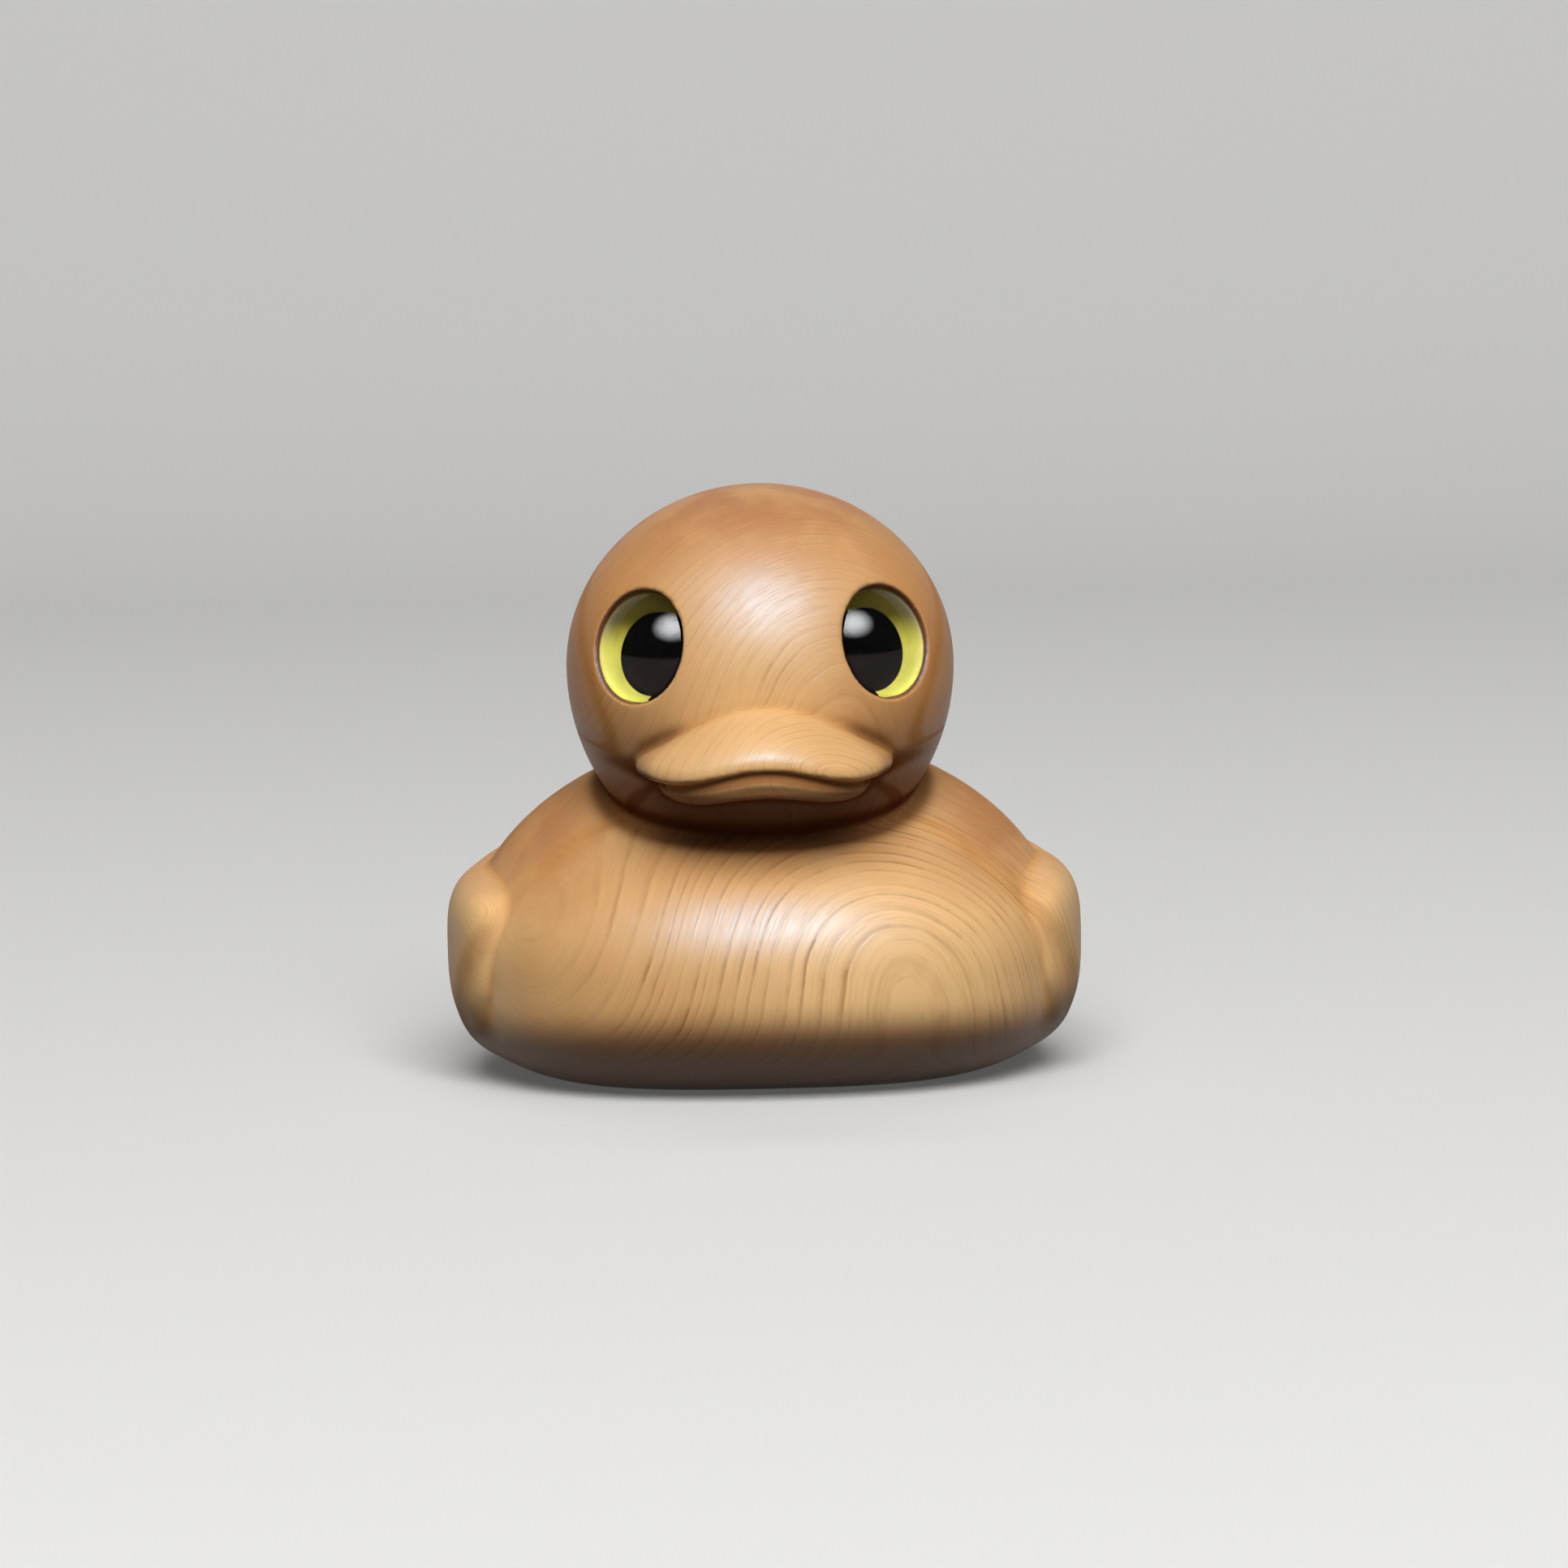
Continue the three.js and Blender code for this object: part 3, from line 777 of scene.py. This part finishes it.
def wood_patches(shade, spot, s, w):
    """Colour of the wood without its rings: pale and warm clouds; paler at the heart of the rings, and
    lighter on the breast, the wings and the bill, partly painted light where the lamp falls; orange at the
    temples, reddish at the crown and the shoulders, and reddish in the creases as painted shade."""
    tip = -s.head_forward - s.bill_reach
    crown = s.head_z + s.head_crown
    cloud = shade.noise(spot.block, 0.75, 3.0).outputs[0]
    tint = shade.mix(shade.ease(cloud, 0.38, 0.66), opaque(w.pale), opaque(w.warm))
    # Paler at the heart of the rings; at the flanks by the wings it is painted light, lighter where the lamp
    # falls.
    pale_and_lit_patch = shade.greatest(
        shade.ease(spot.heart, 0.005, 0.016, 0.95, 0.15),
        shade.ease(spot.wide, 0.017, 0.021, 0.0, 0.9),
    )
    pale_and_lit_patch = shade.product(
        pale_and_lit_patch,
        shade.ease(spot.height, 0.013, 0.019, 1.0, 0.0),
        shade.ease(spot.height, 0.003, 0.007),
    )
    # Partly painted light: the front of the bill made paler.
    bill = shade.product(
        shade.ease(spot.along, tip + 0.0043, tip + 0.0063, 0.65, 0.0),
        shade.ease(spot.height, 0.019, 0.021),
    )
    tint = shade.mix(shade.greatest(pale_and_lit_patch, bill), tint, opaque(w.bright))
    temple = shade.product(
        shade.ease(spot.wide, 0.006, 0.013, 0.1, 0.9),
        shade.ease(spot.height, 0.024, 0.029),
    )
    tint = shade.mix(temple, tint, opaque(w.orange))
    shoulder = shade.product(
        shade.ease(spot.wide, 0.010, 0.017),
        shade.ease(spot.height, 0.0125, 0.018, 0.0, 0.85),
    )
    top = shade.ease(spot.height, crown - 0.008, crown - 0.0005, 0.0, 0.95)
    # At the creases this reddish colour is painted shade.
    blush_and_crease_shade = shade.greatest(shade.ease(spot.crease, 0.4, 0.95, 0.0, 0.5), top, shoulder)
    mottle = shade.noise(spot.block, 2.2, 3.0).outputs[0]
    blush_and_crease_shade = shade.product(blush_and_crease_shade, shade.ease(mottle, 0.3, 0.6, 0.45, 1.0))
    return shade.mix(blush_and_crease_shade, tint, opaque(w.blush_and_crease_shade))


def painted_shading(shade, spot, tint, s, e, w):
    """Painted shade: the wood darkened under the chin and the belly, less so at the back, in the hollows and
    on the walls of the sockets, where shade falls. The lips are kept clear of it and only redden and darken
    in the groove between them, also painted shade."""
    tip = -s.head_forward - s.bill_reach
    mouth = s.head_z - s.bill_drop
    lips = shade.product(
        shade.ease(spot.along, tip + 0.0053, tip + 0.0067, 1.0, 0.0),
        shade.ease(spot.height, mouth - 0.0029, mouth - 0.0017),
        shade.ease(spot.wide, 0.0075, 0.009, 1.0, 0.0),
    )
    # Painted shade: the groove between the lips reddened and darkened.
    groove = shade.product(lips, shade.ease(spot.hollow, 0.35, 0.7, 0.0, 0.8))
    tint = shade.mix(groove, tint, opaque(w.blush_and_crease_shade))
    clear = shade.ease(lips, 0.0, 1.0, 1.0, 0.15)
    # Painted shade under the chin and the belly, on faces that look down.
    below = shade.product(
        shade.ease(spot.under, 0.02, 0.58),
        shade.ease(spot.height, 0.012, 0.02, 0.77, 0.93),
        shade.ease(spot.along, -0.002, 0.008, 1.0, 0.3),
        clear,
    )
    tint = shade.mix(below, tint, opaque(w.painted_shade_colour))
    # Painted shade in the hollows.
    gathered = shade.product(shade.ease(spot.hollow, 0.05, 0.75, 0.0, 0.8), clear)
    tint = shade.mix(gathered, tint, opaque(w.painted_shade_colour))
    # Painted shade on the walls of the eye sockets.
    radius, outward = eye_measures(shade, spot.place, s, e)
    wall = e.lens_diameter / 2.0 + e.gap
    socket = shade.product(
        shade.ease(radius, wall + 0.00005, wall + 0.0002, 0.9, 0.0),
        shade.ease(outward, -0.006, -0.005),
    )
    return shade.mix(socket, tint, opaque(w.painted_shade_colour))


def wood_material(s, e, w):
    """Tan wood: its patches, then the fibres, pores and rings, then the painted shade. Fibres and pores are
    noise stretched along the rings. The back is more matt than the breast, and the hollows hardly shine."""
    shade = Shading("duck_wood")
    spot = wood_spot(shade, w)
    line, band, edge = growth_rings(shade, spot, w)
    fibre = shade.noise(spot.block, 2.0, 3.0, shade.product(spot.depth, 46.0), 0.6).outputs[0]
    pores = shade.noise(spot.block, 5.0, 1.0, shade.product(spot.depth, 70.0)).outputs[0]
    pores = shade.ease(pores, 0.6, 0.75)
    tint = wood_patches(shade, spot, s, w)
    tint = shade.mix(shade.ease(fibre, 0.42, 0.72, 0.0, 0.4), tint, opaque(w.warm))
    tint = shade.mix(band, tint, opaque(w.warm))
    tint = shade.mix(shade.product(pores, 0.22), tint, opaque(w.ring))
    tint = shade.mix(line, tint, opaque(w.ring))
    # Painted highlight: the pale edge after each ring line, where the groove's rim catches light.
    tint = shade.mix(edge, tint, opaque(w.bright))
    tint = painted_shading(shade, spot, tint, s, e, w)

    relief = shade.math("SUBTRACT", shade.product(fibre, 0.3), line)
    relief = shade.math("SUBTRACT", relief, shade.product(pores, 0.3))
    rough = shade.ease(fibre, 0.3, 0.75, 0.37, 0.47)
    gloss = shade.product(
        shade.ease(spot.hollow, 0.05, 0.5, 0.3, 0.02),
        shade.ease(spot.crease, 0.0, 0.6, 1.0, 0.1),
        shade.ease(spot.along, -0.009, 0.001, 1.0, 0.25),
    )
    return shade.finish({
        "Base Color": tint,
        "Roughness": shade.math("ADD", rough, shade.ease(spot.along, -0.008, 0.002, 0.0, 0.15)),
        "Normal": shade.node("Bump", {"Height": relief, "Strength": 0.5, "Distance": 0.00006}).outputs[0],
        "Specular IOR Level": gloss,
        "Specular Tint": (0.36, 0.71, 0.96, 1.0),
    })


def glass_material():
    """Clear polished glass with faint smears in its gloss."""
    shade = Shading("duck_eye_glass")
    place = shade.node("TexCoord").outputs["Object"]
    smear = shade.noise(place, 420.0, 3.0).outputs[0]
    return shade.finish({
        "Base Color": (1.0, 1.0, 1.0, 1.0),
        "Roughness": shade.ease(smear, 0.4, 0.7, 0.03, 0.06),
        "Transmission Weight": 1.0,
        "IOR": 1.5,
        "Specular Tint": (0.5, 0.377, 0.32, 1.0),
    })


def iris_material(s, e):
    """Yellow enamel with fine amber fibres and a thin dark limbal line at the rim; its top is darkened to
    dark olive by height, painted shadow of the socket rim.
    """
    shade = Shading("duck_eye_iris")
    place = shade.node("TexCoord").outputs["Object"]
    fibre = shade.noise(place, 900.0, 4.0, rough=0.65).outputs[0]
    speck = shade.noise(place, 3200.0, 2.0).outputs[0]
    tint = shade.mix(shade.ease(fibre, 0.42, 0.75, 0.0, 0.5), opaque(e.iris_colour), opaque(e.iris_shade))
    height = shade.node("SeparateXYZ", {0: place}).outputs[2]
    # Painted shadow: the top of the iris turns dark olive by height, where the socket rim shades it.
    tint = shade.mix(shade.ease(height, 0.0322, 0.0343, 0.0, 0.95), tint, opaque(e.iris_limbus_and_shadow))
    radius = eye_measures(shade, place, s, e)[0]
    edge = e.lens_diameter / 2.0
    tint = shade.mix(shade.ease(radius, edge - 0.0004, edge - 0.0002), tint, opaque(e.iris_limbus_and_shadow))
    bump = shade.node("Bump", {"Height": speck, "Strength": 0.15, "Distance": 0.00003}).outputs[0]
    return shade.finish({
        "Base Color": tint,
        "Roughness": shade.ease(speck, 0.3, 0.7, 0.45, 0.6),
        "Normal": bump,
        "Specular IOR Level": 0.0,
    })


def pupil_material(e):
    """Black enamel, matt by itself, since the glass over it has the gloss."""
    shade = Shading("duck_eye_pupil")
    place = shade.node("TexCoord").outputs["Object"]
    speck = shade.noise(place, 1800.0, 3.0).outputs[0]
    tint = shade.mix(shade.ease(speck, 0.5, 0.8), opaque(e.pupil_colour), (0.005, 0.005, 0.004, 1.0))
    rough = shade.ease(speck, 0.3, 0.7, 0.5, 0.6)
    return shade.finish({"Base Color": tint, "Roughness": rough, "Specular IOR Level": 0.0})


class DUCK_OT_carve(Operator):
    """Carve the body, head, bill, wings and tail as one block of wood"""

    bl_idname = "duck.carve"
    bl_label = "Carve Body"

    def execute(self, context):
        s, e = context.scene.duck_carving, context.scene.duck_eyes
        cell = s.cell
        margin = 5.0 * cell
        low, high = (np.array(corner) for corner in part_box("duck_body"))
        # Spacing of the lattice, in cells, at places across, along and up the duck: finest at the bill.
        spread = (
            ((-0.018, 1.55), (-0.0115, 1.0), (0.0115, 1.0), (0.018, 1.55)),
            ((-0.012, 1.1), (-0.004, 2.1)),
            ((0.006, 1.5), (0.019, 1.4), (0.0205, 1.0), (0.0365, 1.0), (0.04, 1.5)),
        )
        axes = []
        for a in range(3):
            stops = [(place, cell * wide) for place, wide in spread[a]]
            axes.append(lattice_axis(low[a] - margin, high[a] + margin, stops))

        def field(x, y, z):
            return carving(x, y, z, s, e)[0]

        points, quads = contour(sample_lattice(field, axes), axes)
        points = settle(field, points, quads, cell)
        wood = wood_material(s, e, context.scene.duck_wood)
        duck = new_piece("duck_carving", points, quads, wood, "duck_body")
        facing = field_slope(field, points, 0.3 * cell)
        under = -facing[:, 2] / np.maximum(np.linalg.norm(facing, axis=1), 1e-9)
        # The crease, hollow and under marks steer the painted shade in the wood's colour.
        marks = (
            ("crease", carving(*points.T, s, e)[1], 1),
            ("hollow", hollows(field, points, cell), 3),
            ("under", np.clip(under, 0.0, 1.0), 3),
        )
        for name, values, rounds in marks:
            for _ in range(rounds):
                values = 0.5 * (values + neighbour_mean(values, quads))
            mark = duck.data.attributes.new(name, "FLOAT", "POINT")
            mark.data.foreach_set("value", values.astype(np.float32))
        return {"FINISHED"}


def turn_pair(context, profile, material, name, node):
    """The same turned piece for both eyes."""
    pair = []
    for side, sign in SIDES.items():
        shape = turned(profile, sign, context.scene.duck_carving, context.scene.duck_eyes)
        points, quads, triangles = shape
        piece = new_piece(f"{side}_{name}", points, quads, material, f"{side}_{node}", triangles)
        pair.append(piece)
    return pair


class DUCK_OT_lenses(Operator):
    """Grind the two glass domes"""

    bl_idname = "duck.lenses"
    bl_label = "Grind Lenses"

    def execute(self, context):
        profile = lens_profile(context.scene.duck_eyes)
        for lens in turn_pair(context, profile, glass_material(), "glass_dome", "eye_lens"):
            lens.visible_shadow = False
        return {"FINISHED"}


class DUCK_OT_irises(Operator):
    """Lay the two yellow enamel rings"""

    bl_idname = "duck.irises"
    bl_label = "Lay Irises"

    def execute(self, context):
        s, e = context.scene.duck_carving, context.scene.duck_eyes
        turn_pair(context, iris_profile(e), iris_material(s, e), "iris_ring", "eye_iris")
        return {"FINISHED"}


class DUCK_OT_pupils(Operator):
    """Set the two black pupils"""

    bl_idname = "duck.pupils"
    bl_label = "Set Pupils"

    def execute(self, context):
        e = context.scene.duck_eyes
        turn_pair(context, pupil_profile(e), pupil_material(e), "pupil_disc", "eye_pupil")
        return {"FINISHED"}


def sweep_floor(width=2.0, front=-0.9, back=0.4, bend=0.3, rise=1.2, steps=24):
    """Floor, quarter-round bend and wall in one sheet: the profile is carried straight across."""
    turn = np.linspace(0.0, np.pi / 2.0, steps)
    curve = np.stack([back + bend * np.sin(turn), bend * (1.0 - np.cos(turn))], 1)
    profile = np.concatenate([[[front, 0.0]], curve, [[back + bend, rise]]])
    across = np.linspace(-width, width, 3)
    grid = np.empty((len(profile), len(across), 3))
    grid[..., 0] = across
    grid[..., 1:] = profile[:, None, :]
    index = np.arange(grid[..., 0].size).reshape(grid.shape[:2])
    quads = np.stack([index[:-1, :-1], index[:-1, 1:], index[1:, 1:], index[1:, :-1]], -1).reshape(-1, 4)
    return grid.reshape(-1, 3), quads


def floor_material(stage):
    """Plain pale matt floor that falls dark well in front of the duck. Light that bounces off it onto the
    duck is kept low."""
    shade = Shading("pale_floor")
    sight = shade.node("LightPath").outputs
    seen = shade.greatest(sight["Is Camera Ray"], sight["Is Glossy Ray"], sight["Is Transmission Ray"])
    direct = shade.math("LESS_THAN", sight["Diffuse Depth"], 0.5)
    along = shade.node("SeparateXYZ", {0: shade.node("TexCoord").outputs["Object"]}).outputs[1]
    seen = shade.product(seen, direct, shade.ease(along, -0.5, -0.18))
    unseen = (0.06, 0.059, 0.057, 1.0)
    return shade.finish({
        "Base Color": shade.mix(seen, unseen, opaque(stage.floor)),
        "Roughness": 0.9,
        "Specular IOR Level": 0.1,
        "Emission Color": opaque(stage.floor),
        "Emission Strength": shade.product(seen, 0.12),
    })


def lamp(name, place, target, size, power, tone=(1.0, 1.0, 1.0)):
    """A soft box facing the target, not seen through the glass."""
    data = bpy.data.lights.new(name, "AREA")
    data.shape = "RECTANGLE"
    data.size, data.size_y = size
    data.energy = power
    data.color = tone
    box = bpy.data.objects.new(name, data)
    box.location = place
    box.visible_transmission = False
    box.rotation_euler = (Vector(target) - Vector(place)).to_track_quat("-Z", "Y").to_euler()
    bpy.context.scene.collection.objects.link(box)
    return box


def soften(data):
    """Lets a lamp fade from its middle to its edges: its strength is a soft step down over the distance
    from the middle of the sheet."""
    data.use_nodes = True
    nodes, links = data.node_tree.nodes, data.node_tree.links
    sheet = nodes.new("ShaderNodeNewGeometry").outputs["Parametric"]
    offset = nodes.new("ShaderNodeVectorMath")
    offset.operation = "DISTANCE"
    offset.inputs[1].default_value = (0.5, 0.5, 0.0)
    links.new(sheet, offset.inputs[0])
    fall = nodes.new("ShaderNodeMapRange")
    fall.interpolation_type = "SMOOTHSTEP"
    for key, value in (("From Min", 0.05), ("From Max", 0.5), ("To Min", 1.0), ("To Max", 0.0)):
        fall.inputs[key].default_value = value
    links.new(offset.outputs["Value"], fall.inputs["Value"])
    links.new(fall.outputs[0], nodes["Emission"].inputs["Strength"])


def polar(azimuth, elevation, distance, target):
    """A place seen from the target at that azimuth and elevation, in degrees, and that distance. Azimuth
    nought is in front."""
    a, e = math.radians(azimuth), math.radians(elevation)
    way = Vector((math.sin(a) * math.cos(e), -math.cos(a) * math.cos(e), math.sin(e)))
    return Vector(target) + distance * way


class DUCK_OT_stage(Operator):
    """Lay the floor, hang the lamps and place the camera"""

    bl_idname = "duck.stage"
    bl_label = "Dress Stage"

    def execute(self, context):
        scene, stage = context.scene, context.scene.duck_stage
        points, quads = sweep_floor()
        mesh = bpy.data.meshes.new("pale_floor")
        mesh.from_pydata(points.tolist(), [], quads.tolist())
        mesh.shade_smooth()
        mesh.materials.append(floor_material(stage))
        floor = bpy.data.objects.new("pale_floor", mesh)
        scene.collection.objects.link(floor)

        middle = (0.0, -0.005, 0.022)
        key = lamp("key_box", polar(4.0, 44.0, 1.2, middle), middle, (0.9, 0.7), 16.2)
        key.visible_glossy = False
        fill = lamp("back_fill", polar(182.0, 50.0, 1.3, middle), middle, (0.9, 0.9), 8.5)
        fill.visible_glossy = False
        cool = (0.62, 0.83, 1.0)
        sheen = lamp("sheen_card", polar(3.0, 47.0, 1.25, middle), middle, (1.6, 1.3), 323.0, cool)
        sheen.visible_diffuse = False
        soften(sheen.data)

        world = bpy.data.worlds.new("studio")
        world.use_nodes = True
        glow = world.node_tree.nodes["Background"].inputs
        glow["Color"].default_value = (0.95, 0.97, 1.0, 1.0)
        glow["Strength"].default_value = 0.04
        scene.world = world

        target = Vector((stage.aim_x, 0.0, stage.aim_z))
        data = bpy.data.cameras.new("camera")
        data.sensor_width = 36.0
        data.lens = 36.0 * stage.distance / stage.view_width
        data.clip_start = 0.01
        camera = bpy.data.objects.new("camera", data)
        place = polar(math.degrees(stage.azimuth), math.degrees(stage.elevation), stage.distance, target)
        facing = (target - place).to_track_quat("-Z", "Y").to_matrix().to_4x4()
        camera.matrix_world = Matrix.Translation(place) @ facing @ Matrix.Rotation(-stage.roll, 4, "Z")
        scene.collection.objects.link(camera)
        scene.camera = camera
        scene.view_settings.view_transform = "Standard"
        return {"FINISHED"}


class DUCK_PT_panel(Panel):
    """Everything that makes the duck"""

    bl_idname = "DUCK_PT_panel"
    bl_label = "Wooden Duck"
    bl_space_type = "VIEW_3D"
    bl_region_type = "UI"
    bl_category = "Duck"

    def draw(self, context):
        column = self.layout.column()
        for operator in OPERATORS:
            column.operator(operator.bl_idname)
        for group in GROUPS:
            settings = getattr(context.scene, group)
            box = self.layout.box()
            for name in settings.__annotations__:
                box.prop(settings, name)


OPERATORS = (DUCK_OT_carve, DUCK_OT_lenses, DUCK_OT_irises, DUCK_OT_pupils, DUCK_OT_stage)
GROUPS = {
    "duck_carving": DuckCarving,
    "duck_eyes": DuckEyes,
    "duck_wood": DuckWood,
    "duck_stage": DuckStage,
}


def register():
    """Registers the settings, the operators and the panel."""
    for name, group in GROUPS.items():
        bpy.utils.register_class(group)
        setattr(bpy.types.Scene, name, PointerProperty(type=group))
    for operator in OPERATORS:
        bpy.utils.register_class(operator)
    bpy.utils.register_class(DUCK_PT_panel)


def unregister():
    """Takes them away again."""
    bpy.utils.unregister_class(DUCK_PT_panel)
    for operator in reversed(OPERATORS):
        bpy.utils.unregister_class(operator)
    for name, group in reversed(list(GROUPS.items())):
        delattr(bpy.types.Scene, name)
        bpy.utils.unregister_class(group)


def main():
    """Makes the duck and its stage."""
    register()
    bpy.ops.duck.carve()
    bpy.ops.duck.lenses()
    bpy.ops.duck.irises()
    bpy.ops.duck.pupils()
    bpy.ops.duck.stage()


if __name__ == "__main__":
    main()
